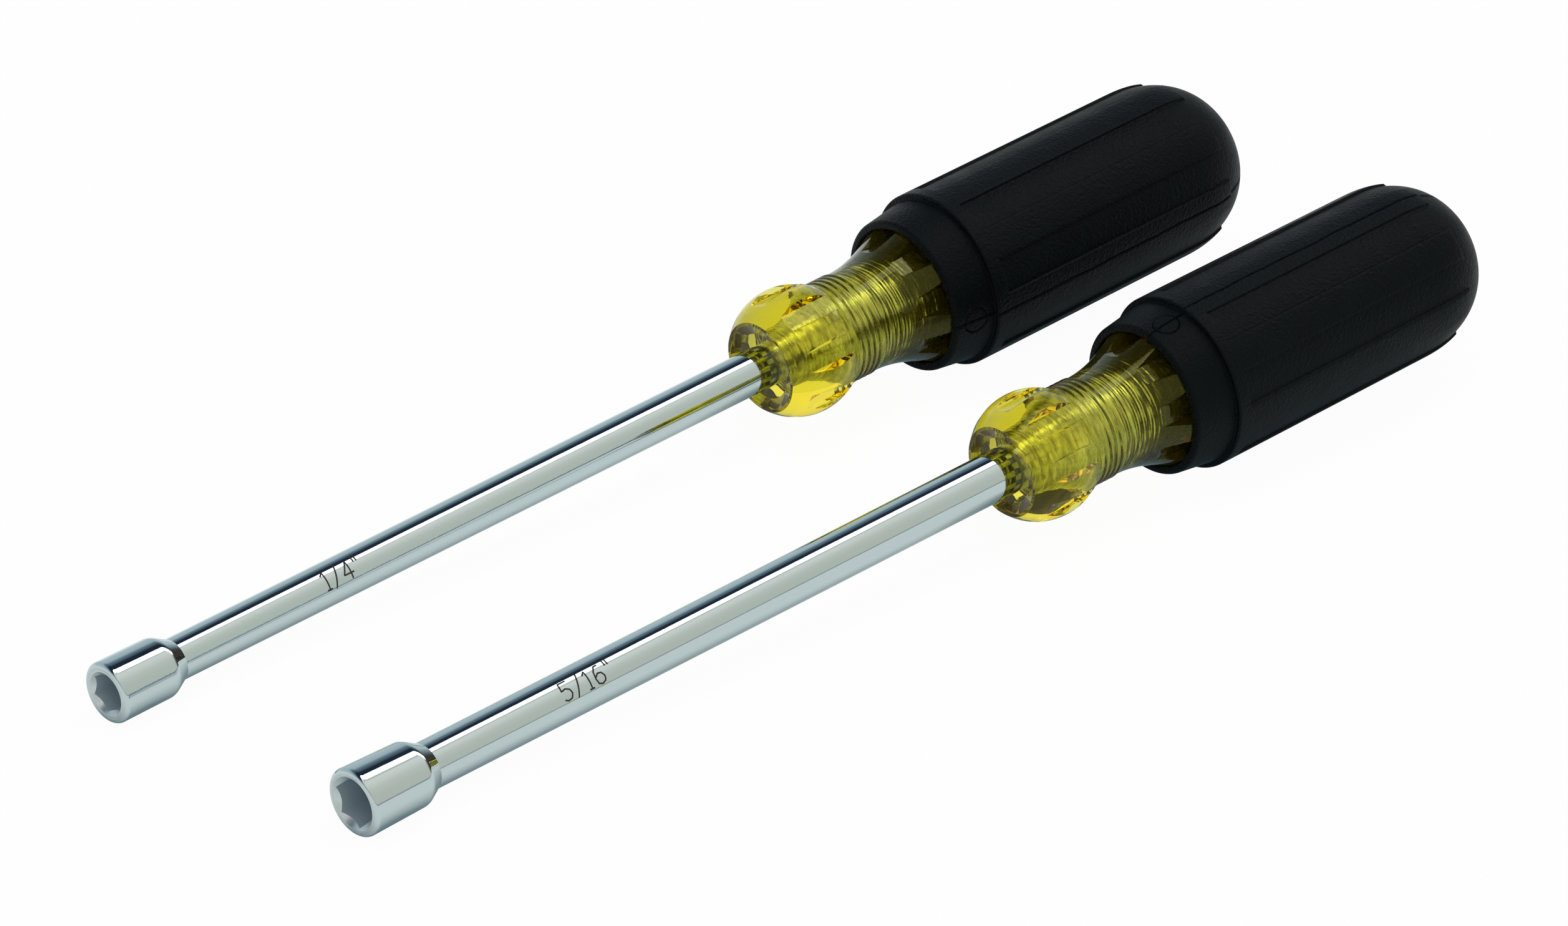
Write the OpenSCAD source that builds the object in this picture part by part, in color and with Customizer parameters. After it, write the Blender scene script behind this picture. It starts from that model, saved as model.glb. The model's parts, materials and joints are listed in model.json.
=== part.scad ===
// Set of two nut drivers with hollow shafts, lying side by side on a flat surface.
// The length of each driver runs along +X from the socket's mouth to the domed end of the grip.

/* [Large driver, 5/16 in] */
// Across flats of the large hex socket
large_hex_af = 8.03; // [7.94:0.01:8.3]
// Outer diameter of the large socket at its mouth
large_socket_d = 12.62; // [12:0.02:14]
// Length of the large socket before its cone
large_socket_len = 12.2; // [10:0.1:16]
// Fall in radius along the large socket, from mouth to cone
large_socket_draft = 0.28; // [0:0.01:0.4]
// Diameter of the large shaft
large_shaft_d = 8.56; // [8:0.02:9]
// Bore of the large hollow shaft
large_bore_d = 6.2; // [5:0.1:6.4]
// Turn of the large driver about its length, from rib up
large_roll = 8; // [-10:1:11]
// Turn of the large hex from the rib that the grip's parting line runs along
large_hex_turn = 38; // [0:1:60]

/* [Small driver, 1/4 in] */
// Across flats of the small hex socket
small_hex_af = 6.43; // [6.35:0.01:6.7]
// Outer diameter of the small socket at its mouth
small_socket_d = 11.2; // [10.4:0.02:12]
// Length of the small socket before its cone
small_socket_len = 11.1; // [9:0.1:14]
// Fall in radius along the small socket, from mouth to cone
small_socket_draft = 0.1; // [0:0.01:0.4]
// Diameter of the small shaft
small_shaft_d = 7.6; // [7:0.02:8]
// Bore of the small hollow shaft
small_bore_d = 5.2; // [4.2:0.1:5.4]
// Turn of the small driver about its length, from rib up
small_roll = 92; // [81:1:99]
// Turn of the small hex from the rib that the grip's parting line runs along
small_hex_turn = 33; // [0:1:60]

/* [Shafts] */
// Length of shaft that shows, from the socket's mouth to the face of the ball
shaft_show_len = 148.2; // [100:0.1:200]
// Length of the tang inside the handle core
tang_len = 62; // [40:1:70]
// Depth of the hex from the mouth
hex_depth = 12; // [8:0.5:13]
// Chamfer at the mouth of the hex, beyond its corners
hex_lead = 0.3; // [0.1:0.05:0.5]
// Rounding of the socket's outer edge at the mouth
mouth_round = 0.9; // [0.3:0.1:1.2]
// Length of the cone from the socket to the shaft
cone_len = 4; // [3:0.1:8]
// Length of the wings on the tang
wing_len = 14; // [8:1:20]
// Height of the wings above the tang
wing_h = 1.2; // [0.6:0.1:1.6]
// Thickness of the wings
wing_t = 1.6; // [1:0.1:2.4]

/* [Handle core] */
// Radius of the core inside the grip, as a share of the barrel's radius
core_share = 0.781; // [0.76:0.001:0.79]
// Radius from the axis to the floor of a flute, as a share of the core's radius
flute_floor_share = 0.8225; // [0.81:0.0005:0.84]
// Radius of the neck behind the ball, as a share of the flute floor's radius
neck_share = 0.902; // [0.88:0.001:0.92]
// Radius of the ball nose, as a share of the neck's radius
ball_share = 1.25; // [1.18:0.002:1.27]
// Radius of the ball's flat face round the shaft, as a share of the ball's radius
face_share = 0.722; // [0.66:0.002:0.76]
// Depth of the dish in that face
dish_depth = 0.7; // [0.2:0.1:1]
// Number of fine rings round the neck
ring_count = 4; // [2:1:4]
// Distance from ring to ring
ring_pitch = 1.25; // [1:0.05:1.25]
// Height of a ring above the neck
ring_h = 0.22; // [0.1:0.02:0.3]
// Radius of the arc that flares from the neck
flare_arc_r = 28; // [25:0.5:32]
// Number of flutes along the core
flute_count = 8; // [6:1:8]
// Width of a flute at its floor
flute_floor_w = 3.4; // [2.6:0.1:3.6]
// Slope of a flute's sides from radial
flute_slope = 38; // [25:1:42]

/* [Cushion grip] */
// Overall length, from the socket's mouth to the domed end
overall_len = 254.5; // [252:0.5:270]
// Length of the grip from its mouth to its domed end
grip_len = 73.3; // [70:0.1:76]
// Radius of the barrel over the ribs, at its front
barrel_r = 15.88; // [15.6:0.02:17]
// Fall in radius along the barrel, from its front to the dome
barrel_fall = 0.25; // [0.1:0.05:0.5]
// Height of the ribs above the panels
rib_h = 0.42; // [0.2:0.02:0.5]
// Length from the grip's mouth to the step where the barrel starts
collar_len = 8; // [6:0.1:10]
// Radius of the collar at its mouth, as a share of the barrel's radius
collar_share = 0.88; // [0.85:0.002:0.9]
// Rise in radius along the collar
collar_rise = 0.9; // [0.4:0.1:1]
// Rounding of the grip's outer edge at its mouth
collar_round = 0.8; // [0.4:0.1:1]
// Plain band between the step and the panels
band_len = 2.6; // [1:0.1:4]
// Length of the domed end
dome_len = 16.5; // [15:0.5:17]
// Distance from the end of the ribs to the domed end
rib_end_gap = 9.2; // [8:0.1:12]
// Thickness of the grip at its domed end
end_wall = 3; // [2.5:0.1:4]

/* [Set] */
// Distance between the two drivers, across their length
pair_y = 56.6; // [36:0.1:90]
// How far the small driver is set back towards the sockets
pair_x = -5.4; // [-20:0.1:0]
// Turn of the small driver on the surface, about its socket's mouth
pair_turn = -0.6; // [-2:0.05:0]

/* [Hidden] */
$fn = 96;

overrun = 1;
shaft_fit = 0.02;
grip_fit = 0.05;
key_fit = 0.1;

// Power of the dome's curve: 2 is an ellipse, more is fuller
dome_power = 2.3;
// How far along the collar the keys start
key_start_share = 0.4;
// Width of the flat ring at the grip's mouth, as a share of the wall there
bevel_share = 0.35;
// Rounding of the tang's end, as a share of the shaft's radius
end_round_share = 0.3;
// How far along the cone its rounded start reaches, before its straight part
cone_round_share = 0.35;
// Length of a ring on the neck, as a share of the ring pitch
ring_share = 0.8;
// Edges of the dish in the ball's face, as shares of the face's radius
dish_floor_share = 0.72;
dish_rim_share = 0.93;

// Radius of the flat that ends the core's dome, as a share of the core's radius
core_flat_share = 0.3;
// Radius of the flat in the middle of the grip's dome, as a share of the dome's radius
grip_flat_share = 0.06;

// Radii from the outside in
core_r = barrel_r * core_share;
collar_r = barrel_r * collar_share;
flute_floor_r = core_r * flute_floor_share;
neck_r = flute_floor_r * neck_share;
ball_r = neck_r * ball_share;
face_r = ball_r * face_share;

// Ball, neck and flare
ball_x = shaft_show_len + sqrt(ball_r * ball_r - face_r * face_r);
neck_x = ball_x + sqrt(ball_r * ball_r - neck_r * neck_r);
ring_x = neck_x + ring_pitch / 2;
flare_x = ring_x + ring_count * ring_pitch;
flare_end_x = flare_x + arc_run(flare_arc_r, core_r - neck_r);

// Grip
grip_x = overall_len - grip_len;
step_x = grip_x + collar_len;
band_end_x = step_x + band_len;
rib_end_x = overall_len - rib_end_gap;
dome_x = overall_len - dome_len;
panel_r = barrel_r - rib_h;
dome_r = panel_r - barrel_fall;
rib_angle = 180 / flute_count;
key_start_x = grip_x + collar_len * key_start_share;
core_end_x = overall_len - end_wall;
core_dome_len = dome_len - end_wall / 2;

// Where a lying driver touches the surface: its socket near the mouth, and the front of its barrel
socket_rest_x = mouth_round;
barrel_rest_x = step_x + rib_h;

function arc_run(r, rise) = sqrt(r * r - (r - rise) * (r - rise));
function tilt(socket_r) = atan((barrel_r - socket_r) / (barrel_rest_x - socket_rest_x));
function lift(socket_r) = socket_r * cos(tilt(socket_r)) - socket_rest_x * sin(tilt(socket_r));

large_tilt = tilt(large_socket_d / 2);
small_tilt = tilt(small_socket_d / 2);
small_lean = acos(cos(small_tilt) * cos(pair_turn));
small_back = -pair_x + (small_socket_d / 2 - mouth_round) * sin(small_lean);
small_side = pair_y + barrel_rest_x * cos(small_tilt) * sin(pair_turn) + barrel_r * cos(pair_turn);
centre_x = (overall_len * cos(large_tilt) - small_back) / 2;
centre_y = (small_side - barrel_r) / 2;

// Points of an arc in the plane of a revolved outline, as [radius, place along the axis]
function arc(centre, r, from, to, steps) =
    [for (i = [0:steps]) let (a = from + (to - from) * i / steps)
        [centre[0] + r * cos(a), centre[1] + r * sin(a)]];

// Points of a dome that is fuller than an ellipse, from its rim at 0 degrees to its pole at 90
function dome(r, start, length, steps, from = 0, to = 90) =
    [for (i = [0:steps]) let (a = from + (to - from) * i / steps)
        [r * pow(cos(a), 2 / dome_power), start + length * pow(sin(a), 2 / dome_power)]];

// Such a dome that ends in a small flat
function flat_dome(r, start, length, flat_share, from = 0) =
    let (points = dome(r, start, length, 16, from, acos(pow(flat_share, dome_power / 2))))
        concat(points, [[0, points[16][1]]]);

// The angle along such a dome at which it reaches a place on the axis
function dome_angle(start, length, x) = asin(pow((x - start) / length, dome_power / 2));

// One driver, laid down: its axis leaves +Z for +X, tips up onto the barrel, and turns on the surface
module lie_down(socket_r, roll, x, y, turn) {
    translate([x - centre_x, y - centre_y, lift(socket_r)])
        rotate([0, 0, turn])
            rotate([0, -tilt(socket_r), 0])
                rotate([0, 90, 0])
                    rotate([0, 0, 180 + roll])
                        children();
}

module large_place() {
    lie_down(large_socket_d / 2, large_roll, 0, 0, 0) children();
}

module small_place() {
    lie_down(small_socket_d / 2, small_roll, pair_x, pair_y, pair_turn) children();
}

// Share of the fall in radius reached at a share of the cone's length
function cone_fall(t) =
    (t < cone_round_share ? t * t / cone_round_share : 2 * t - cone_round_share) / (2 - cone_round_share);

// Shaft with its socket, hollow from the hex to near the end of the tang
module driver_shaft(socket_r, socket_len, socket_draft, shaft_r, hex_af, bore_r, hex_turn) {
    rear_r = socket_r - socket_draft;
    tang_end_x = shaft_show_len + tang_len;
    hex_r = hex_af / 2 / cos(30);
    cone_end_x = socket_len + cone_len;
    end_round = shaft_r * end_round_share;
    difference() {
        union() {
            rotate_extrude()
                polygon(concat(
                    [[0, 0]],
                    arc([socket_r - mouth_round, mouth_round], mouth_round, -90, 0, 8),
                    [[rear_r, socket_len]],
                    [for (i = [1:10]) let (t = i / 10)
                        [rear_r + (shaft_r - rear_r) * cone_fall(t), socket_len + cone_len * t]],
                    [[shaft_r, cone_end_x]],
                    arc([shaft_r - end_round, tang_end_x - end_round], end_round, 0, 90, 4),
                    [[0, tang_end_x]]
                ));
            tang_wings(shaft_r, wing_h, wing_t, wing_len, tang_end_x);
        }
        translate([0, 0, -overrun])
            rotate([0, 0, hex_turn])
                cylinder(r = hex_r, h = hex_depth + overrun, $fn = 6);
        hex_chamfer(hex_r);
        translate([0, 0, hex_depth - overrun])
            cylinder(r = bore_r, h = tang_end_x - hex_depth - wing_len + overrun);
    }
}

module hex_chamfer(hex_r) {
    translate([0, 0, -overrun])
        cylinder(r1 = hex_r + hex_lead + overrun, r2 = hex_r - hex_lead,
                 h = 2 * hex_lead + overrun);
}

// Two pressed wings at the end of the tang
module tang_wings(shaft_r, height, thick, length, end_x) {
    for (side = [0, 180])
        rotate([0, 0, side])
            translate([0, -thick / 2, end_x - length])
                cube([shaft_r + height, thick, length - shaft_r * end_round_share]);
}

// Outline of the core from the face of its ball to its domed end
function ring_points() =
    [for (k = [0:ring_count - 1]) each
        [for (i = [0:6]) let (t = i / 6)
            [neck_r + ring_h * sin(180 * t), ring_x + ring_pitch * (k + t * ring_share)]]];

function flare_points() =
    [for (i = [1:12]) let (dx = (flare_end_x - flare_x) * i / 12)
        [neck_r + flare_arc_r - sqrt(flare_arc_r * flare_arc_r - dx * dx), flare_x + dx]];

function core_outline() = concat(
    [[0, shaft_show_len + dish_depth]],
    [[face_r * dish_floor_share, shaft_show_len + dish_depth]],
    [[face_r * dish_rim_share, shaft_show_len]],
    arc([0, ball_x], ball_r, -acos(face_r / ball_r), acos(neck_r / ball_r), 24),
    ring_points(),
    [[neck_r, flare_x]],
    flare_points(),
    flat_dome(core_r, core_end_x - core_dome_len, core_dome_len, core_flat_share)
);

// Eight flutes, straight and parallel to the axis, so they run out on the ball and in the flare
module flutes(fit, from_x) {
    depth = core_r - flute_floor_r + overrun;
    floor_w = flute_floor_w - 2 * fit;
    top_w = floor_w + 2 * depth * tan(flute_slope);
    for (k = [0:flute_count - 1])
        rotate([0, 0, (k + 0.5) * 360 / flute_count])
            translate([0, 0, from_x])
                linear_extrude(height = overall_len - from_x)
                    polygon([
                        [flute_floor_r + fit, -floor_w / 2],
                        [flute_floor_r + fit + depth, -top_w / 2],
                        [flute_floor_r + fit + depth, top_w / 2],
                        [flute_floor_r + fit, floor_w / 2],
                    ]);
}

// Amber core, moulded round the tang and its wings
module driver_core(shaft_r) {
    tang_end_x = shaft_show_len + tang_len;
    difference() {
        rotate_extrude() polygon(core_outline());
        flutes(0, shaft_show_len - overrun);
        translate([0, 0, shaft_show_len - overrun])
            cylinder(r = shaft_r + shaft_fit, h = tang_len + shaft_fit + overrun);
        tang_wings(shaft_r, wing_h + shaft_fit, wing_t + 2 * shaft_fit, wing_len + shaft_fit, tang_end_x);
    }
}

// Outline of the grip at the level of its ribs, which step down to the dome
function grip_outline() = concat(
    [[0, grip_x]],
    [[core_r + (collar_r - core_r) * bevel_share, grip_x]],
    arc([collar_r - collar_round, grip_x + collar_round], collar_round, -90, 0, 6),
    [[collar_r + collar_rise, step_x]],
    [[barrel_r - rib_h, step_x]],
    [[barrel_r, step_x + rib_h]],
    [[barrel_r, band_end_x]],
    [for (p = dome(dome_r, dome_x, dome_len, 6, 0, dome_angle(dome_x, dome_len, rib_end_x - rib_h)))
        p + [rib_h, 0]],
    flat_dome(dome_r, dome_x, dome_len, grip_flat_share, dome_angle(dome_x, dome_len, rib_end_x))
);

// Outline of what is cut away over a panel, down from the ribs
function panel_outline() = concat(
    [[barrel_r + overrun, band_end_x - overrun]],
    [[panel_r, band_end_x + rib_h]],
    dome(dome_r, dome_x, dome_len, 6, 0, dome_angle(dome_x, dome_len, rib_end_x)),
    [[barrel_r + overrun, rib_end_x + overrun]]
);

// Space inside the grip: the core's own outline, a fit larger
function cavity_outline() = concat(
    [[0, grip_x - overrun]],
    [[core_r + grip_fit, grip_x - overrun]],
    flat_dome(core_r + grip_fit, core_end_x + grip_fit - core_dome_len, core_dome_len, core_flat_share)
);

// Black grip, pushed over the core, with keys inside that fill the flutes
module driver_grip() {
    difference() {
        rotate_extrude() polygon(grip_outline());
        for (k = [0:flute_count - 1])
            rotate([0, 0, k * 360 / flute_count + rib_angle / 2])
                rotate_extrude(angle = rib_angle) polygon(panel_outline());
        difference() {
            rotate_extrude() polygon(cavity_outline());
            flutes(key_fit, key_start_x);
        }
    }
}

module shaft_5_16() {
    color("silver")
        large_place()
            driver_shaft(large_socket_d / 2, large_socket_len, large_socket_draft, large_shaft_d / 2,
                         large_hex_af, large_bore_d / 2, large_hex_turn);
}

module handle_core_5_16() {
    color("goldenrod")
        large_place()
            driver_core(large_shaft_d / 2);
}

module cushion_grip_5_16() {
    color("darkslategray")
        large_place()
            driver_grip();
}

module shaft_1_4() {
    color("silver")
        small_place()
            driver_shaft(small_socket_d / 2, small_socket_len, small_socket_draft, small_shaft_d / 2,
                         small_hex_af, small_bore_d / 2, small_hex_turn);
}

module handle_core_1_4() {
    color("goldenrod")
        small_place()
            driver_core(small_shaft_d / 2);
}

module cushion_grip_1_4() {
    color("darkslategray")
        small_place()
            driver_grip();
}

shaft_5_16();
handle_core_5_16();
cushion_grip_5_16();
shaft_1_4();
handle_core_1_4();
cushion_grip_1_4();
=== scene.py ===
"""Looks for a set of two nut drivers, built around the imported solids.

Lengths in this script are in millimetres, along each driver from its socket's mouth, and angles are in
degrees about the driver. Points are turned into metres in the shared frame only by Driver.at().
"""

import json
import math

import bmesh
import bpy
from mathutils import Matrix, Vector, noise


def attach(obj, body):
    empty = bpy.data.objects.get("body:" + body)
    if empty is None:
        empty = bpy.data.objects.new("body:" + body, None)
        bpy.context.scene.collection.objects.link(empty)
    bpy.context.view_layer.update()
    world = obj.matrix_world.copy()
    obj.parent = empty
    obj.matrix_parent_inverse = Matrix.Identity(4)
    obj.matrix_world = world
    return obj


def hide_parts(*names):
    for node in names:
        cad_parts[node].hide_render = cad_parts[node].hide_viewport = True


MM = 0.001

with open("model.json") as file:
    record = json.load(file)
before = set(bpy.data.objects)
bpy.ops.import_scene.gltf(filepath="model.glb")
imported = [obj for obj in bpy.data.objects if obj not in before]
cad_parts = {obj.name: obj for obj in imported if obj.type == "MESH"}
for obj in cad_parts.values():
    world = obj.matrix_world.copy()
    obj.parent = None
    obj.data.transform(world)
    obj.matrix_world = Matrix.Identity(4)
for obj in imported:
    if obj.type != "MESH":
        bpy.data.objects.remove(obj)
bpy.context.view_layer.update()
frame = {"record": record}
MOUNTS = {mount["name"]: mount for mount in frame["record"]["mounts"]}

# Shape of both drivers, as in the solids
SHAFT_SHOW = 148.2
TANG_END = 210.2
HEX_DEPTH = 12.0
HEX_LEAD = 0.3
MOUTH_ROUND = 0.9
CONE_LEN = 4.0
CONE_ROUND = 0.35
TANG_WIDE_R = 5.7
WING_LEN = 14.0
WING_H = 1.2
WING_T = 1.6
BARREL_R = 15.88
CORE_R = BARREL_R * 0.781
FLOOR_R = CORE_R * 0.8225
NECK_R = FLOOR_R * 0.902
BALL_R = NECK_R * 1.25
FACE_R = BALL_R * 0.722
COLLAR_R = BARREL_R * 0.88
FLOOR_HALF = 1.7
FLUTE_SLOPE = math.tan(math.radians(38))
FLUTES = 8
SECTOR = 360 / FLUTES
DISH = 0.7
RINGS = 4
RING_PITCH = 1.25
RING_H = 0.22
FLARE_R = 28.0
OVERALL = 254.5
GRIP_X = OVERALL - 73.3
STEP_X = GRIP_X + 8
BAND_END = STEP_X + 2.6
RIB_H = 0.42
RIB_END = OVERALL - 9.2
DOME_LEN = 16.5
DOME_X = OVERALL - DOME_LEN
DOME_POWER = 2.3
PANEL_R = BARREL_R - RIB_H
DOME_R = PANEL_R - 0.25
COLLAR_RISE = 0.9
COLLAR_ROUND = 0.8
CORE_END = OVERALL - 3
CORE_DOME_LEN = DOME_LEN - 1.5
KEY_START = GRIP_X + 3.2

BALL_X = SHAFT_SHOW + math.sqrt(BALL_R**2 - FACE_R**2)
NECK_X = BALL_X + math.sqrt(BALL_R**2 - NECK_R**2)
RING_X = NECK_X + RING_PITCH / 2
FLARE_X = RING_X + RINGS * RING_PITCH
FLARE_END = FLARE_X + math.sqrt(FLARE_R**2 - (FLARE_R - CORE_R + NECK_R) ** 2)


def steps(low, high, count):
    """count + 1 even values from low to high."""
    return [low + (high - low) * i / count for i in range(count + 1)]


def ease(value, low, high):
    """0 below low, 1 above high, smooth between."""
    t = min(1.0, max(0.0, (value - low) / (high - low)))
    return t * t * (3 - 2 * t)


class Driver:
    """One driver: its own sizes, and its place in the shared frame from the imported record."""

    def __init__(self, name, socket_r, socket_len, draft, shaft_r, hex_af, bore_r, roll, hex_turn):
        self.name = name
        self.socket_r = socket_r
        self.socket_len = socket_len
        self.rear_r = socket_r - draft
        self.shaft_r = shaft_r
        self.hex_r = hex_af / 2 / math.cos(math.pi / 6)
        self.bore_r = bore_r
        self.roll = roll
        self.hex_turn = hex_turn
        mount = MOUNTS["hex_socket_" + name]
        self.mouth = Vector(mount["pos_m"])
        self.along = -Vector(mount["axis"]).normalized()
        up = Vector((0, 0, 1))
        self.up = (up - self.along * up.dot(self.along)).normalized()
        self.side = self.along.cross(self.up)

    def at(self, x, r, turn):
        """The point at length x, radius r and angle turn from the rib with the parting line."""
        angle = math.radians(turn + self.roll)
        out = self.up * math.cos(angle) + self.side * math.sin(angle)
        return self.mouth + (self.along * x + out * r) * MM


LARGE = Driver(
    "5_16",
    socket_r=6.31,
    socket_len=12.2,
    draft=0.28,
    shaft_r=4.28,
    hex_af=8.03,
    bore_r=3.1,
    roll=8,
    hex_turn=38,
)
SMALL = Driver(
    "1_4",
    socket_r=5.6,
    socket_len=11.1,
    draft=0.1,
    shaft_r=3.8,
    hex_af=6.43,
    bore_r=2.6,
    roll=92,
    hex_turn=33,
)


# Camera: the photo's viewing angle, from its perspective and the sockets' ellipses
VIEW_TURN = math.radians(42.46)
VIEW_DOWN = math.radians(29.25)
PHOTO_WIDTH = 2514
FOCAL_PIXELS = 38400
SENSOR = 36
MOUTH_FROM_CAMERA = (-0.07207, -0.05691, 4.0)


def add_camera():
    right = Vector((math.cos(VIEW_TURN), -math.sin(VIEW_TURN), 0))
    level = Vector((math.sin(VIEW_TURN), math.cos(VIEW_TURN), 0))
    ahead = level * math.cos(VIEW_DOWN) - Vector((0, 0, math.sin(VIEW_DOWN)))
    above = right.cross(ahead)
    across, upward, depth = MOUTH_FROM_CAMERA
    data = bpy.data.cameras.new("camera")
    data.sensor_width = SENSOR
    data.sensor_fit = "HORIZONTAL"
    data.lens = FOCAL_PIXELS / PHOTO_WIDTH * SENSOR
    data.clip_start = 0.1
    data.clip_end = 60
    camera = bpy.data.objects.new("camera", data)
    turned = Matrix((right, above, -ahead)).transposed().to_4x4()
    place = LARGE.mouth - right * across - above * upward - ahead * depth
    camera.matrix_world = Matrix.Translation(place) @ turned
    bpy.context.scene.collection.objects.link(camera)
    bpy.context.scene.camera = camera


add_camera()


# Node helpers
class Nodes:
    """A material or world with a short way to add and link its nodes."""

    def __init__(self, owner):
        owner.use_nodes = True
        self.tree = owner.node_tree
        self.tree.nodes.clear()

    def add(self, kind, inputs=None, **settings):
        node = self.tree.nodes.new(kind)
        for key, value in settings.items():
            setattr(node, key, value)
        for key, value in (inputs or {}).items():
            if isinstance(value, bpy.types.NodeSocket):
                self.tree.links.new(value, node.inputs[key])
            else:
                node.inputs[key].default_value = value
        return node

    def math(self, operation, first, second=0.0):
        node = self.add("ShaderNodeMath", {0: first, 1: second}, operation=operation)
        return node.outputs[0]

    def ramp(self, value, stops, mode="LINEAR"):
        node = self.add("ShaderNodeValToRGB", {"Fac": value})
        node.color_ramp.interpolation = mode
        elements = node.color_ramp.elements
        while len(elements) > 1:
            elements.remove(elements[-1])
        for i, (place, colour) in enumerate(stops):
            element = elements[0] if i == 0 else elements.new(place)
            element.position = place
            element.color = (*colour, 1)
        return node.outputs["Color"]

    def along_driver(self, driver):
        """Coordinates in mm: across, across and along a driver."""
        place = self.add("ShaderNodeTexCoord").outputs["Object"]
        moved = self.add("ShaderNodeVectorMath", {0: place, 1: driver.mouth[:]}, operation="SUBTRACT")
        parts = []
        for axis in (driver.along, driver.side, driver.up):
            dot = self.add(
                "ShaderNodeVectorMath",
                {0: moved.outputs[0], 1: (axis / MM)[:]},
                operation="DOT_PRODUCT",
            )
            parts.append(dot.outputs["Value"])
        joined = self.add("ShaderNodeCombineXYZ", {"X": parts[0], "Y": parts[1], "Z": parts[2]})
        return joined.outputs["Vector"]

    def noise(self, vector, scale, detail=2.0, roughness=0.5, stretch=(1, 1, 1)):
        mapped = self.add("ShaderNodeMapping", {"Vector": vector, "Scale": stretch})
        node = self.add(
            "ShaderNodeTexNoise",
            {"Vector": mapped.outputs[0], "Scale": scale, "Detail": detail, "Roughness": roughness},
        )
        return node.outputs["Fac"]

    def bump(self, height, distance, strength=1.0, normal=None):
        inputs = {"Height": height, "Distance": distance, "Strength": strength}
        if normal is not None:
            inputs["Normal"] = normal
        return self.add("ShaderNodeBump", inputs).outputs["Normal"]


def new_material(name):
    material = bpy.data.materials.new(name)
    return material, Nodes(material)


def chrome_material(driver):
    material, nodes = new_material("chrome_" + driver.name)
    place = nodes.along_driver(driver)
    cloud = nodes.noise(place, 0.35, 4, 0.6)
    lines = nodes.noise(place, 3.0, 3, 0.6, (0.12, 1, 1))
    roughness = nodes.ramp(cloud, [(0.3, (0.035,) * 3), (0.75, (0.075,) * 3)])
    shader = nodes.add(
        "ShaderNodeBsdfPrincipled",
        {
            "Base Color": (0.56, 0.62, 0.63, 1),
            "Metallic": 1.0,
            "Roughness": roughness,
            "Normal": nodes.bump(lines, 0.000002, 0.6),
        },
    )
    nodes.add("ShaderNodeOutputMaterial", {"Surface": shader.outputs[0]})
    return material


def satin_material(
    driver, name, colour, roughness_low, roughness_high, metallic=1.0, stretch=(1, 1, 1), dark=0.86
):
    """Metal without a mirror's finish; dark is the share of the colour left in its darkest spots."""
    material, nodes = new_material(name + "_" + driver.name)
    place = nodes.along_driver(driver)
    fine = nodes.noise(place, 4.0, 4, 0.7, stretch)
    wide = nodes.noise(place, 0.8, 3, 0.5)
    roughness = nodes.ramp(wide, [(0.25, (roughness_low,) * 3), (0.8, (roughness_high,) * 3)])
    tint = nodes.ramp(fine, [(0.3, [c * dark for c in colour]), (0.75, colour)])
    shader = nodes.add(
        "ShaderNodeBsdfPrincipled",
        {
            "Base Color": tint,
            "Metallic": metallic,
            "Roughness": roughness,
            "Normal": nodes.bump(fine, 0.00002, 0.5),
        },
    )
    nodes.add("ShaderNodeOutputMaterial", {"Surface": shader.outputs[0]})
    return material


def amber_material(driver):
    material, nodes = new_material("amber_" + driver.name)
    place = nodes.along_driver(driver)
    wave = nodes.noise(place, 0.25, 2, 0.5)
    scuff = nodes.noise(place, 1.6, 5, 0.7)
    roughness = nodes.ramp(scuff, [(0.45, (0.0,) * 3), (0.8, (0.05,) * 3)])
    shader = nodes.add(
        "ShaderNodeBsdfPrincipled",
        {
            "Base Color": (1.0, 0.99, 0.5, 1),
            "Roughness": roughness,
            "IOR": 1.52,
            "Specular Tint": (0.6, 0.62, 0.2, 1),
            "Transmission Weight": 1.0,
            "Normal": nodes.bump(wave, 0.0002, 0.5),
        },
    )
    inside = nodes.add("ShaderNodeVolumeAbsorption", {"Color": (0.97, 0.905, 0.07, 1), "Density": 140})
    haze = nodes.add("ShaderNodeBsdfDiffuse", {"Color": (0.88, 0.70, 0.06, 1)})
    skin = nodes.add("ShaderNodeMixShader", {0: 0.02, 1: shader.outputs[0], 2: haze.outputs[0]})
    nodes.add("ShaderNodeOutputMaterial", {"Surface": skin.outputs[0], "Volume": inside.outputs[0]})
    return material


def vinyl_material(driver):
    material, nodes = new_material("vinyl_" + driver.name)
    place = nodes.along_driver(driver)
    cells = nodes.add(
        "ShaderNodeTexVoronoi",
        {"Vector": place, "Scale": 1.9, "Detail": 1.0, "Randomness": 1.0},
        feature="SMOOTH_F1",
    )
    fine = nodes.noise(place, 5.0, 3, 0.6)
    wide = nodes.noise(place, 0.25, 3, 0.5)
    pebble = nodes.bump(cells.outputs["Distance"], 0.00018, 0.7)
    grain = nodes.bump(fine, 0.00008, 0.7, pebble)
    roughness = nodes.ramp(wide, [(0.3, (0.38,) * 3), (0.75, (0.5,) * 3)])
    colour = nodes.ramp(wide, [(0.3, (0.0014, 0.0026, 0.0036)), (0.8, (0.0024, 0.0042, 0.0056))])
    shader = nodes.add(
        "ShaderNodeBsdfPrincipled",
        {
            "Base Color": colour,
            "Roughness": roughness,
            "Specular IOR Level": 0.065,
            "Normal": grain,
        },
    )
    nodes.add("ShaderNodeOutputMaterial", {"Surface": shader.outputs[0]})
    return material


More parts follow.
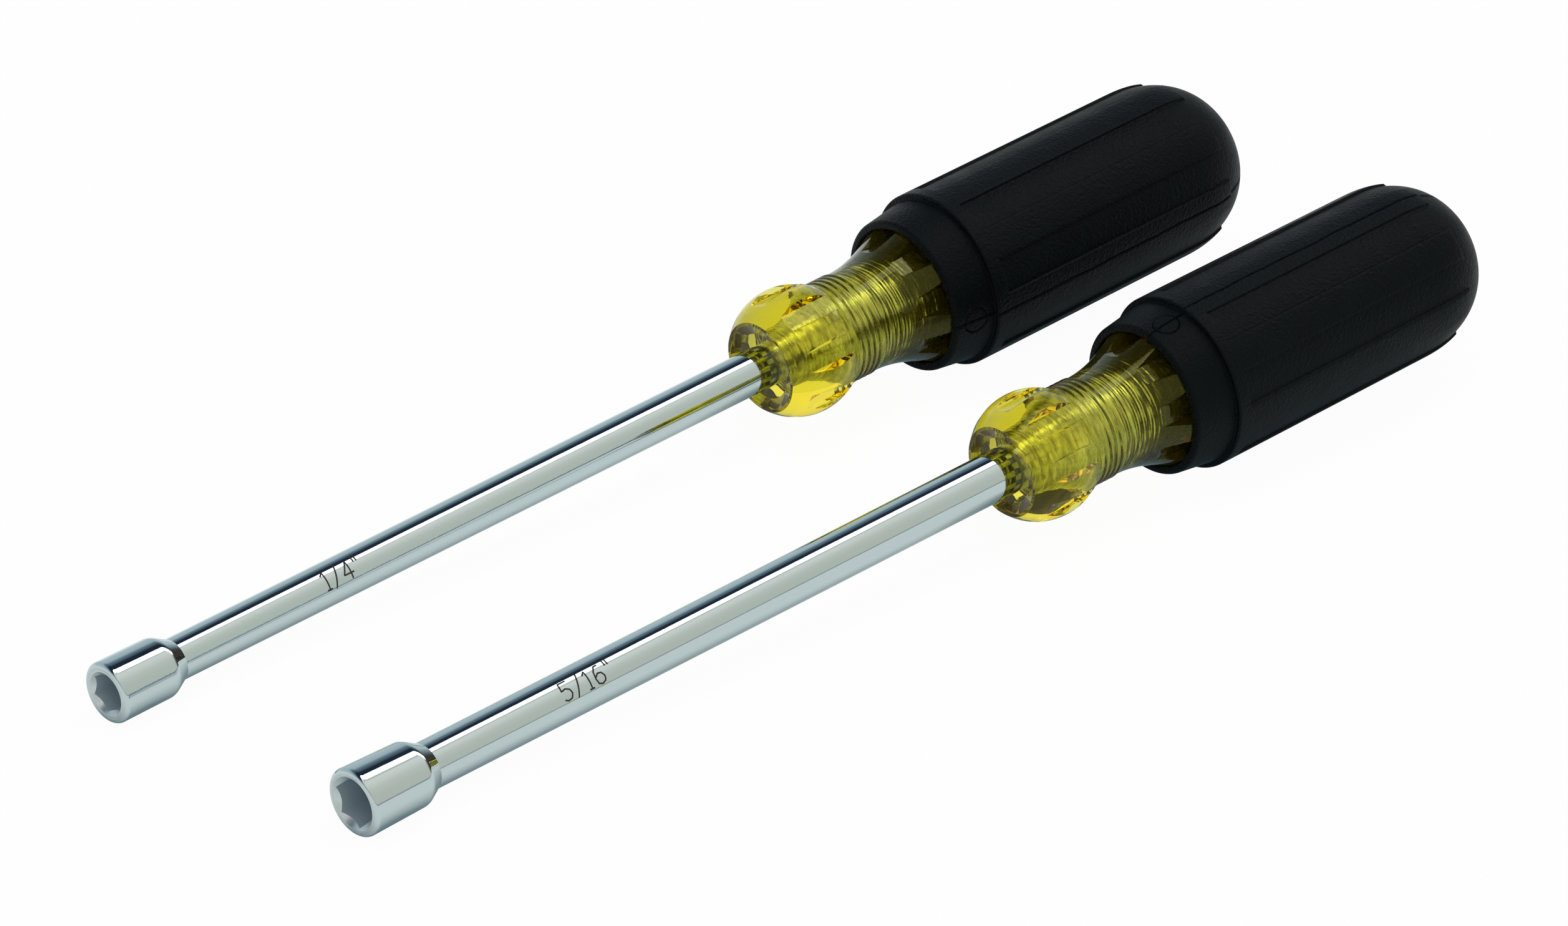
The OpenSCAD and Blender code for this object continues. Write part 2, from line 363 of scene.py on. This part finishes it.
def etch_material():
    material, nodes = new_material("etched_mark")
    place = nodes.add("ShaderNodeTexCoord").outputs["Object"]
    mottle = nodes.noise(place, 2500.0, 3, 0.7)
    colour = nodes.ramp(mottle, [(0.3, (0.022, 0.018, 0.02)), (0.8, (0.06, 0.05, 0.052))])
    shader = nodes.add(
        "ShaderNodeBsdfPrincipled",
        {"Base Color": colour, "Roughness": 0.7, "Specular IOR Level": 0.2},
    )
    nodes.add("ShaderNodeOutputMaterial", {"Surface": shader.outputs[0]})
    return material


# Mesh helpers
def ring_mesh(name, driver, rings, materials, parts, sharp):
    """A closed skin through rings of (x, r, turn) points, capped at both ends by a middle point.

    parts gives the material's number for each strip between two rings, in order.
    """
    mesh = bmesh.new()
    count = len(rings[0])
    made = []
    for ring in rings:
        made.append([mesh.verts.new(driver.at(*point)) for point in ring])
    for i in range(len(made) - 1):
        for j in range(count):
            k = (j + 1) % count
            face = mesh.faces.new((made[i][j], made[i][k], made[i + 1][k], made[i + 1][j]))
            face.material_index = parts[i]
    for end, ring in ((0, made[0]), (-1, made[-1])):
        middle = mesh.verts.new(driver.at(rings[end][0][0], 0, 0))
        for j in range(count):
            face = mesh.faces.new((ring[j], ring[(j + 1) % count], middle))
            face.material_index = parts[end]
    bmesh.ops.recalc_face_normals(mesh, faces=mesh.faces)
    data = bpy.data.meshes.new(name)
    mesh.to_mesh(data)
    mesh.free()
    for polygon in data.polygons:
        polygon.use_smooth = True
    data.set_sharp_from_angle(angle=math.radians(sharp))
    for material in materials:
        data.materials.append(material)
    made_object = bpy.data.objects.new(name, data)
    bpy.context.scene.collection.objects.link(made_object)
    return made_object


def round_rows(centre_x, centre_r, radius, start, end, count):
    """Points (x, r) of an arc; 0 degrees points outward, 90 towards larger x."""
    rows = []
    for angle in steps(start, end, count):
        a = math.radians(angle)
        rows.append((centre_x + radius * math.sin(a), centre_r + radius * math.cos(a)))
    return rows


def dome_r(radius, start, length, x):
    share = min(1.0, max(0.0, (x - start) / length))
    return radius * (1 - share**DOME_POWER) ** (1 / DOME_POWER)


# Shaft with its socket, one skin: outside, mouth, hex and bore
SHAFT_COLUMNS = 240
CHROME, FACE, HEX, TANG = range(4)
# Turned lines on the mouth's flat face: share of the way in from the rim, and depth
FACE_LINES = [(0.08, 0.0), (0.16, 0.05), (0.24, 0.0), (0.5, 0.0), (0.57, 0.035), (0.64, 0.0), (0.9, 0.0)]


def cone_fall(t):
    """Share of the fall in radius reached at a share of the cone's length."""
    fall = t * t / CONE_ROUND if t < CONE_ROUND else 2 * t - CONE_ROUND
    return fall / (2 - CONE_ROUND)


def tang_r(driver, x):
    """Radius of the tang, which is thicker from the core's neck to the end of the flare."""
    wings_start = TANG_END - WING_LEN
    wide = ease(x, BALL_X, NECK_X) * (1 - ease(x, wings_start - 7, wings_start - 1))
    return driver.shaft_r + (TANG_WIDE_R - driver.shaft_r) * wide


def tang_wrinkle(driver, x, turn):
    """Height of the tang's wrinkles, where the plastic set round the steel: streaks, then lines across."""
    a = math.radians(turn)
    threads = Vector((math.cos(a) * 1.1, math.sin(a) * 1.1, x * 2.6 + driver.roll))
    waves = Vector((math.cos(a) * 1.8, math.sin(a) * 1.8, x * 0.5))
    along = Vector((math.cos(a) * 6.0, math.sin(a) * 6.0, x * 0.12))
    lines = noise.noise(threads) * 0.1 + noise.noise(waves) * 0.09
    streaks = noise.noise(along) * 0.05
    cross = ease(x, SHAFT_SHOW + 2, SHAFT_SHOW + 5)
    calm = 1 - 0.55 * ease(x, NECK_X - 2, NECK_X) * (1 - ease(x, FLARE_X, FLARE_X + 3))
    lift = lines * cross * calm + streaks * (1 - cross)
    return min(0.0, lift - 0.05) * ease(x, SHAFT_SHOW + 0.9, SHAFT_SHOW + 2)


def shaft_piece(driver):
    turns = [driver.hex_turn + 360 * j / SHAFT_COLUMNS for j in range(SHAFT_COLUMNS)]
    rings, parts = [], []

    def add(x, r, part, wings=False):
        ring = []
        for turn in turns:
            radius = r
            if wings:
                off = abs((turn + 90) % 180 - 90)
                if math.sin(math.radians(off)) * (r + WING_H) <= WING_T / 2:
                    radius = r + WING_H
            ring.append((x, radius, turn))
        rings.append(ring)
        parts.append(part)

    end_round = driver.shaft_r * 0.3
    for x, r in round_rows(TANG_END - end_round, driver.shaft_r - end_round, end_round, 90, 0, 6):
        add(x, r, CHROME)
    wings_start = TANG_END - WING_LEN
    add(TANG_END - end_round - 0.05, driver.shaft_r, CHROME, True)
    add(wings_start, driver.shaft_r, CHROME, True)
    add(wings_start - 0.05, driver.shaft_r, CHROME)
    for x in steps(wings_start - 0.1, SHAFT_SHOW + 0.9, 300):
        rings.append([(x, tang_r(driver, x) + tang_wrinkle(driver, x, turn), turn) for turn in turns])
        parts.append(TANG)
    cone_start = driver.socket_len
    cone_end = cone_start + CONE_LEN
    for x in steps(SHAFT_SHOW + 0.8, cone_end, 30):
        add(x, driver.shaft_r, CHROME)
    for t in steps(1, 0, 24)[1:]:
        x = cone_start + CONE_LEN * t
        add(x, driver.rear_r + (driver.shaft_r - driver.rear_r) * cone_fall(t), CHROME)
    rim_r = driver.socket_r - MOUTH_ROUND
    for x, r in round_rows(MOUTH_ROUND, rim_r, MOUTH_ROUND, 0, -90, 14):
        add(x, r, CHROME)
    parts[-1] = FACE
    lead_r = driver.hex_r + HEX_LEAD
    for drop, x in FACE_LINES:
        add(x, rim_r - drop * (rim_r - lead_r), FACE)
    add(0, lead_r + 0.08, FACE)
    add(0.02, lead_r, FACE)
    flat_r = driver.hex_r * math.cos(math.pi / 6)
    hexagon = []
    for turn in turns:
        off = math.radians((turn - driver.hex_turn) % 60 - 30)
        hexagon.append(flat_r / math.cos(off))
    rings.append([(lead_r - r, r, turn) for r, turn in zip(hexagon, turns)])
    parts.append(HEX)
    for x in (3.0, 7.0, HEX_DEPTH):
        rings.append([(x, r, turn) for r, turn in zip(hexagon, turns)])
        parts.append(HEX)
    add(HEX_DEPTH + 0.01, driver.bore_r, HEX)
    for x in steps(HEX_DEPTH + 1, wings_start, 8):
        add(x, driver.bore_r, HEX)
    materials = [
        chrome_material(driver),
        satin_material(driver, "socket_face", (0.66, 0.70, 0.71), 0.28, 0.42),
        satin_material(driver, "socket_inside", (0.56, 0.66, 0.73), 0.42, 0.6, 0.5),
        satin_material(driver, "tang", (0.68, 0.74, 0.50), 0.2, 0.34, 1.0, (0.4, 0.07, 0.07), 0.22),
    ]
    return ring_mesh("chrome_shaft_" + driver.name, driver, rings, materials, parts, 24)


# Fluted amber core
FLOOR_EDGE_R = math.hypot(FLOOR_R, FLOOR_HALF)
FLOOR_EDGE_TURN = math.degrees(math.atan2(FLOOR_HALF, FLOOR_R))
# The bore's wall lies this far under the tang's surface, so no gap of air shows round the tang
BORE_UNDER = 0.3


def outline_r(x):
    """Radius of the core's plain outline, before its flutes."""
    if x <= NECK_X:
        return math.sqrt(max(0.0, BALL_R**2 - (x - BALL_X) ** 2))
    if x < RING_X:
        return NECK_R
    if x < FLARE_X:
        t = ((x - RING_X) % RING_PITCH) / RING_PITCH / 0.8
        return NECK_R + (RING_H * math.sin(math.pi * t) if t < 1 else 0)
    if x < FLARE_END:
        return NECK_R + FLARE_R - math.sqrt(FLARE_R**2 - (x - FLARE_X) ** 2)
    return dome_r(CORE_R, CORE_END - CORE_DOME_LEN, CORE_DOME_LEN, x)


def flute_r(off):
    """Radius of a flute's floor or side at an angle off its middle, in degrees."""
    a = math.radians(abs(off))
    if abs(off) <= FLOOR_EDGE_TURN:
        return FLOOR_R / math.cos(a)
    lean = FLUTE_SLOPE * math.cos(a) - math.sin(a)
    if lean <= 1e-6:
        return 1e6
    return (FLOOR_R * FLUTE_SLOPE - FLOOR_HALF) / lean


def flute_edges(r):
    """Half angles of a flute's floor and of its mouth where the outline's radius is r."""
    if r <= FLOOR_R:
        return 1.0, 1.3
    if r <= FLOOR_EDGE_R:
        half = max(1.0, math.degrees(math.acos(FLOOR_R / r)))
        return half, half + 0.06
    low, high = FLOOR_EDGE_TURN, 37.0
    for _ in range(40):
        middle = (low + high) / 2
        if flute_r(middle) < r:
            low = middle
        else:
            high = middle
    return FLOOR_EDGE_TURN, max(low, FLOOR_EDGE_TURN + 0.06)


def core_ring(x, r):
    ring = []
    floor, mouth = flute_edges(r)
    half = SECTOR / 2
    offs = steps(-half, -mouth, 6) + steps(-mouth, -floor, 4)[1:] + steps(-floor, floor, 8)[1:]
    offs += steps(floor, mouth, 4)[1:] + steps(mouth, half, 6)[1:-1]
    for k in range(FLUTES):
        for off in offs:
            ring.append((x, min(r, flute_r(off)), (k + 0.5) * SECTOR + off))
    return ring


# Heights over the flute's floor at which rings lie where a flute starts
FLUTE_START_RISES = (0.001, 0.005, 0.015, 0.04, 0.08)


def core_stations():
    """Lengths at which the core's rings lie, closer where the flutes start and on the fine rings."""
    stations = []
    start = -math.degrees(math.acos(FACE_R / BALL_R))
    end = math.degrees(math.acos(NECK_R / BALL_R))
    stations += [BALL_X + BALL_R * math.sin(math.radians(a)) for a in steps(start, end, 70)]
    for r in [FLOOR_R + rise for rise in FLUTE_START_RISES] + [FLOOR_EDGE_R]:
        reach = math.sqrt(BALL_R**2 - r**2)
        stations += [BALL_X - reach, BALL_X + reach]
        flare = math.sqrt(FLARE_R**2 - (FLARE_R - r + NECK_R) ** 2)
        stations.append(FLARE_X + flare)
    for k in range(RINGS):
        stations += [RING_X + RING_PITCH * (k + 0.8 * t) for t in steps(0, 1, 12)]
    stations += steps(FLARE_X, FLARE_END, 60)
    stations += steps(FLARE_END, CORE_END - CORE_DOME_LEN, 20)
    stations += [CORE_END - CORE_DOME_LEN * (1 - math.sin(math.radians(a))) for a in steps(0, 88, 20)]
    stations.sort()
    kept = [stations[0]]
    for x in stations[1:]:
        if x - kept[-1] > 1e-4:
            kept.append(x)
    return kept


def core_piece(driver):
    outer = []
    for x in core_stations():
        outer.append(core_ring(x, outline_r(x)))
    turns = [point[2] for point in outer[0]]
    rings = []
    for x in steps(TANG_END - 2, SHAFT_SHOW + DISH, 60):
        rings.append([(x, tang_r(driver, x) - BORE_UNDER, turn) for turn in turns])
    floor_r = FACE_R * 0.72
    rim_r = FACE_R * 0.93
    face = [
        (SHAFT_SHOW + DISH, floor_r),
        (SHAFT_SHOW + DISH - 0.06, floor_r + 0.1),
        (SHAFT_SHOW + 0.06, rim_r - 0.1),
        (SHAFT_SHOW, rim_r),
    ]
    for x, r in face:
        rings.append([(x, r, turn) for turn in turns])
    rings += outer
    parts = [0] * len(rings)
    return ring_mesh("amber_core_" + driver.name, driver, rings, [amber_material(driver)], parts, 11)


# Cushion grip
GRIP_FIT = 0.05
# Half the angle of a rib's flat top
RIB_HALF = 10.75
GROOVE_HALF = 0.17
GROOVE_DEPTH = 0.42
MARK_R = 2.3
MARK_X = 185.35
MARK_HALF = 0.14
MARK_DEPTH = 0.28


def grip_columns():
    turns = []
    for k in range(FLUTES):
        middle = k * SECTOR
        if k == 0:
            rib = steps(-RIB_HALF, RIB_HALF, 62)
        elif k == 4:
            half = (0.3, 0.6, 0.9, 1.2, 2.5, 5, 8, RIB_HALF)
            rib = [-t for t in reversed(half)] + [0] + list(half)
        else:
            rib = steps(-RIB_HALF, RIB_HALF, 10)
        turns += [middle + t for t in rib]
        turns += [middle + t for t in (10.95, 11.15, 11.35, 11.55)]
        turns += [middle + t for t in steps(11.75, 33.25, 10)]
        turns += [middle + t for t in (33.45, 33.65, 33.85, 34.05)]
    return turns


def rib_share(turn):
    off = abs((turn + SECTOR / 2) % SECTOR - SECTOR / 2)
    return 1 - ease(off, 10.8, 11.6)


def grip_r(x):
    """Radius of the grip's outline at the level of its panels, behind the step."""
    if x <= BAND_END:
        return PANEL_R
    if x <= DOME_X:
        return PANEL_R + (DOME_R - PANEL_R) * (x - BAND_END) / (DOME_X - BAND_END)
    return dome_r(DOME_R, DOME_X, DOME_LEN, x)


def grip_stations():
    """(x, r) rows from the mouth's flat ring to the end of the band behind the step."""
    ring_r = CORE_R + (COLLAR_R - CORE_R) * 0.35
    rows = [(GRIP_X + 0.25, CORE_R + GRIP_FIT), (GRIP_X, CORE_R + GRIP_FIT + 0.25), (GRIP_X, ring_r)]
    edge_x = GRIP_X + COLLAR_ROUND
    rows += round_rows(edge_x, COLLAR_R - COLLAR_ROUND, COLLAR_ROUND, -70, -4, 8)
    for x in steps(edge_x, STEP_X - 0.25, 78):
        rows.append((x, COLLAR_R + COLLAR_RISE * (x - edge_x) / (STEP_X - edge_x)))
    foot_r = rows[-1][1]
    rows += [(STEP_X - 0.08, foot_r + 0.01), (STEP_X, foot_r + 0.1), (STEP_X + 0.02, PANEL_R - 0.15)]
    rows += round_rows(STEP_X + RIB_H, BARREL_R - RIB_H, RIB_H, -85, 0, 7)
    rows += [(x, BARREL_R) for x in steps(STEP_X + RIB_H + 0.2, BAND_END, 5)]
    return rows


def parting_shift(driver, x):
    """Sideways wander of the parting line, in degrees."""
    wide = noise.noise(Vector((x * 0.16, driver.roll, 0.5)))
    fine = noise.noise(Vector((x * 0.7, driver.roll, 3.1)))
    return wide * 0.9 + fine * 0.25


def grip_piece(driver):
    turns = grip_columns()
    rings = []

    def finish_ring(x, radii):
        ring = []
        wander = parting_shift(driver, x)
        for turn, r in zip(turns, radii):
            for middle in (0, 180):
                off = (turn - middle + 180) % 360 - 180
                side = (off - wander) * math.radians(1) * r
                if abs(side) < 3 * GROOVE_HALF and x > GRIP_X - 0.1:
                    r -= GROOVE_DEPTH * math.exp(-((side / GROOVE_HALF) ** 2))
            side = ((turn + 180) % 360 - 180) * math.radians(1) * r
            away = abs(math.hypot(side, x - MARK_X) - MARK_R)
            if away < 3 * MARK_HALF and x < STEP_X - 0.5:
                r -= MARK_DEPTH * math.exp(-((away / MARK_HALF) ** 2))
            ring.append((x, r, turn))
        rings.append(ring)

    inner = []
    for x in steps(CORE_END + 0.1, CORE_END - 14, 14) + steps(CORE_END - 15, KEY_START + 0.3, 10):
        plain = max(0.3, outline_r(min(x, CORE_END - 0.02)) + GRIP_FIT)
        ring = []
        for turn in turns:
            off = (turn + SECTOR) % SECTOR - SECTOR / 2
            ring.append((x, min(plain, flute_r(off) + 0.15), turn))
        inner.append(ring)
    for x in (KEY_START, GRIP_X + 0.4):
        inner.append([(x, CORE_R + GRIP_FIT, turn) for turn in turns])
    rings += inner
    for x, r in grip_stations():
        finish_ring(x, [r] * len(turns))
    fall = steps(BAND_END + 0.04, BAND_END + RIB_H, 6)
    body = steps(BAND_END + RIB_H + 0.2, DOME_X, 90)
    tail = steps(DOME_X, RIB_END - RIB_H, 10)[1:] + steps(RIB_END - RIB_H + 0.05, RIB_END, 6)
    dome = [DOME_X + DOME_LEN * (1 - (1 - t) ** 2) for t in steps(0, 1, 60)]
    dome = [x for x in dome if RIB_END + 0.1 < x < OVERALL - 0.004]
    for x in fall + body + tail + dome:
        base = grip_r(x)
        band = 1 - ease(x, BAND_END, BAND_END + RIB_H)
        rib = 1 - ease(x, RIB_END - RIB_H, RIB_END)
        finish_ring(x, [base + RIB_H * max(band, rib * rib_share(turn)) for turn in turns])
    parts = [0] * len(rings)
    return ring_mesh("vinyl_grip_" + driver.name, driver, rings, [vinyl_material(driver)], parts, 40)


# Size numbers, etched along the shafts: strokes in units of the letters' height
GLYPHS = {
    "5": [
        [(0.62, 1.0), (0.12, 1.0), (0.06, 0.56), (0.34, 0.62), (0.56, 0.5)]
        + [(0.62, 0.28), (0.5, 0.06), (0.26, 0.0), (0.04, 0.1)]
    ],
    "/": [[(0.5, 1.08), (0.05, -0.1)]],
    "1": [[(0.06, 0.8), (0.28, 1.0), (0.28, 0.0)], [(0.12, 0.0), (0.44, 0.0)]],
    "6": [
        [(0.54, 1.0), (0.3, 0.98), (0.1, 0.7), (0.04, 0.36), (0.12, 0.08), (0.34, 0.0)]
        + [(0.56, 0.1), (0.62, 0.32), (0.5, 0.54), (0.28, 0.58), (0.08, 0.42)]
    ],
    "4": [[(0.46, 0.0), (0.46, 1.0), (0.02, 0.32), (0.66, 0.32)]],
    '"': [[(0.06, 1.1), (0.06, 0.76)], [(0.24, 1.1), (0.24, 0.76)]],
}
GLYPH_STEP = {"5": 0.84, "/": 0.7, "1": 0.64, "6": 0.86, "4": 0.84, '"': 0.4}
# Height of the strokes over the steel, and pieces in each straight run, so that none dips under it
MARK_PROUD = 0.01
STROKE_STEPS = 18


def etched_mark(driver, text, start_x, middle_turn, height, width, material):
    """Thin raised strokes that follow the shaft's curve, with the letters' tops towards smaller turns."""
    mesh = bmesh.new()
    radius = driver.shaft_r + MARK_PROUD
    pen_x = start_x
    for letter in text:
        for stroke in GLYPHS[letter]:
            fine = []
            for (xa, ya), (xb, yb) in zip(stroke, stroke[1:]):
                fine += [(xa + (xb - xa) * t, ya + (yb - ya) * t) for t in steps(0, 1, STROKE_STEPS)[:-1]]
            fine.append(stroke[-1])
            points = [Vector((pen_x + x * height, y * height)) for x, y in fine]
            edges = []
            for i, point in enumerate(points):
                ahead = points[min(i + 1, len(points) - 1)] - points[max(i - 1, 0)]
                normal = Vector((-ahead.y, ahead.x)).normalized() * width / 2
                pair = []
                for p in (point - normal, point + normal):
                    turn = middle_turn - math.degrees((p.y - height / 2) / driver.shaft_r)
                    pair.append(mesh.verts.new(driver.at(p.x, radius, turn - driver.roll)))
                edges.append(pair)
            for a, b in zip(edges, edges[1:]):
                mesh.faces.new((a[0], a[1], b[1], b[0]))
        pen_x += GLYPH_STEP[letter] * height
    data = bpy.data.meshes.new("mark_" + driver.name)
    mesh.normal_update()
    mesh.to_mesh(data)
    mesh.free()
    data.materials.append(material)
    mark = bpy.data.objects.new("size_mark_" + driver.name, data)
    bpy.context.scene.collection.objects.link(mark)
    return mark


# Height of the numerals, width of their strokes, and each text with its start and middle angle
MARK_HEIGHT = 3.4
MARK_STROKE = 0.3
MARKS = {"5_16": ('5/16"', 44.5, 43.5), "1_4": ('1/4"', 46.3, 44.0)}
mark_material = etch_material()
for one in (LARGE, SMALL):
    shaft = shaft_piece(one)
    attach(shaft, "root")
    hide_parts("shaft_" + one.name)
    core = core_piece(one)
    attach(core, "root")
    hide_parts("handle_core_" + one.name)
    grip = grip_piece(one)
    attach(grip, "root")
    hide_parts("cushion_grip_" + one.name)
    words, start, middle = MARKS[one.name]
    mark = etched_mark(one, words, start, middle, MARK_HEIGHT, MARK_STROKE, mark_material)
    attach(mark, "root")


# Floor, light and world
FLOOR_SIZE = 8.0


def add_floor():
    mesh = bpy.data.meshes.new("floor")
    half = FLOOR_SIZE / 2
    corners = [(-half, -half, 0), (half, -half, 0), (half, half, 0), (-half, half, 0)]
    mesh.from_pydata(corners, [], [(0, 1, 2, 3)])
    floor = bpy.data.objects.new("floor", mesh)
    bpy.context.scene.collection.objects.link(floor)
    material, nodes = new_material("floor")
    place = nodes.add("ShaderNodeTexCoord").outputs["Object"]
    tone = nodes.ramp(nodes.noise(place, 3.0), [(0.3, (0.90, 0.90, 0.90)), (0.7, (0.93, 0.93, 0.93))])
    path = nodes.add("ShaderNodeLightPath")
    seen = nodes.math("MAXIMUM", path.outputs["Is Camera Ray"], path.outputs["Is Transmission Ray"])
    shade = nodes.add("ShaderNodeBsdfDiffuse", {"Color": tone})
    white = nodes.add("ShaderNodeEmission", {"Color": (1, 1, 1, 1), "Strength": 1.0})
    glow = nodes.add("ShaderNodeEmission", {"Color": (0.92, 1.0, 1.0, 1), "Strength": 1.0})
    dull = nodes.add("ShaderNodeBsdfDiffuse", {"Color": (0.95, 0.98, 0.98, 1)})
    mirrored = nodes.add("ShaderNodeMixShader", {0: 0.5, 1: dull.outputs[0], 2: glow.outputs[0]})
    bright = nodes.add("ShaderNodeMixShader", {0: 0.965, 1: shade.outputs[0], 2: white.outputs[0]})
    first = nodes.add("ShaderNodeMixShader", {0: seen, 1: shade.outputs[0], 2: bright.outputs[0]})
    # Painted contact shadow: where ambient occlusion finds the object close, the floor seen in the metal
    # turns into a dark glow; light that has passed through the clear plastic doesn't get it
    near = nodes.add("ShaderNodeAmbientOcclusion", {"Distance": 0.014}, samples=8).outputs["AO"]
    open_share = nodes.ramp(near, [(0.4, (0.0,) * 3), (0.9, (1.0,) * 3)])
    open_share = nodes.math("MAXIMUM", open_share, path.outputs["Transmission Depth"])
    # Colour of the painted shadow, a dark glow that only the metal shows on the floor near the object
    dark = nodes.add("ShaderNodeEmission", {"Color": (0.16, 0.24, 0.27, 1), "Strength": 1.0})
    with_painted_shadow = nodes.add("ShaderNodeMixShader", {0: open_share, 1: dark.outputs[0], 2: mirrored.outputs[0]})
    second = nodes.add(
        "ShaderNodeMixShader",
        {0: path.outputs["Is Glossy Ray"], 1: first.outputs[0], 2: with_painted_shadow.outputs[0]},
    )
    nodes.add("ShaderNodeOutputMaterial", {"Surface": second.outputs[0]})
    mesh.materials.append(material)


# Studio seen in the metal: colour at each angle about +X, where -90 is level in front, 0 straight up
# and 90 level behind
STUDIO = [
    (-180, (0.70, 0.72, 0.72)),
    (-91, (0.70, 0.72, 0.72)),
    (-90, (0.36, 0.38, 0.37)),
    (-87, (0.38, 0.40, 0.38)),
    (-86, (0.69, 0.72, 0.65)),
    (-60, (0.70, 0.74, 0.66)),
    (-40, (0.78, 0.80, 0.73)),
    (-22, (0.94, 0.95, 0.88)),
    (-9, (1.0, 1.0, 0.95)),
    (-8, (0.64, 0.66, 0.62)),
    (-5, (0.64, 0.66, 0.62)),
    (-4, (1.0, 1.0, 1.0)),
    (9, (1.0, 1.0, 1.0)),
    (10, (0.015, 0.022, 0.04)),
    (28, (0.02, 0.035, 0.06)),
    (36, (0.11, 0.155, 0.20)),
    (46, (0.20, 0.28, 0.33)),
    (54, (0.45, 0.59, 0.65)),
    (62, (0.53, 0.66, 0.71)),
    (85, (0.62, 0.72, 0.75)),
    (110, (0.80, 0.84, 0.84)),
    (180, (0.70, 0.72, 0.72)),
]


def add_world():
    world = bpy.data.worlds.new("studio")
    bpy.context.scene.world = world
    nodes = Nodes(world)
    way = nodes.add("ShaderNodeTexCoord").outputs["Generated"]
    parts = nodes.add("ShaderNodeSeparateXYZ", {0: way}).outputs
    turn = nodes.math("ARCTAN2", parts["Y"], parts["Z"])
    share = nodes.math("MULTIPLY_ADD", turn, 1 / (2 * math.pi))
    share.node.inputs[2].default_value = 0.5
    bands = nodes.ramp(share, [((a + 180) / 360, colour) for a, colour in STUDIO])
    ahead = nodes.math("ABSOLUTE", parts["X"])
    end = nodes.ramp(ahead, [(0.86, (0, 0, 0)), (0.97, (1, 1, 1))])
    half = nodes.math("MULTIPLY_ADD", parts["X"], 0.5)
    half.node.inputs[2].default_value = 0.5
    far = nodes.ramp(half, [(0.3, (0.55, 0.58, 0.60)), (0.7, (0.06, 0.055, 0.05))])
    mixed = nodes.add("ShaderNodeMix", {"Factor": end, "A": bands, "B": far}, data_type="RGBA")
    path = nodes.add("ShaderNodeLightPath")
    seen = nodes.add("ShaderNodeBackground", {"Color": (1, 1, 1, 1), "Strength": 1.0})
    lit = nodes.add("ShaderNodeBackground", {"Color": mixed.outputs["Result"], "Strength": 1.0})
    both = nodes.math("MAXIMUM", path.outputs["Is Camera Ray"], path.outputs["Is Transmission Ray"])
    out = nodes.add("ShaderNodeMixShader", {0: both, 1: lit.outputs[0], 2: seen.outputs[0]})
    nodes.add("ShaderNodeOutputWorld", {"Surface": out.outputs[0]})


def add_lamp(name, place, aim, width, length, power, colour):
    data = bpy.data.lights.new(name, "AREA")
    data.shape = "RECTANGLE"
    data.size = length
    data.size_y = width
    data.energy = power
    data.color = colour
    lamp = bpy.data.objects.new(name, data)
    lamp.location = place
    back = Vector(place) - Vector(aim)
    side = Vector((1, 0, 0))
    side = (side - back * side.dot(back) / back.length_squared).normalized()
    lamp.matrix_world = Matrix.Translation(place) @ Matrix(
        (side, back.normalized().cross(side), back.normalized())
    ).transposed().to_4x4()
    bpy.context.scene.collection.objects.link(lamp)


add_floor()
add_world()
add_lamp("overhead", (0.5, 0.1, 1.2), (0.0, 0.0, 0.0), 0.36, 3.0, 7.5, (1.0, 1.0, 0.99))
bpy.context.scene.view_settings.view_transform = "Standard"
# Light crosses the clear plastic many times
bpy.context.scene.cycles.max_bounces = 32
bpy.context.scene.cycles.glossy_bounces = 24
bpy.context.scene.cycles.transmission_bounces = 24
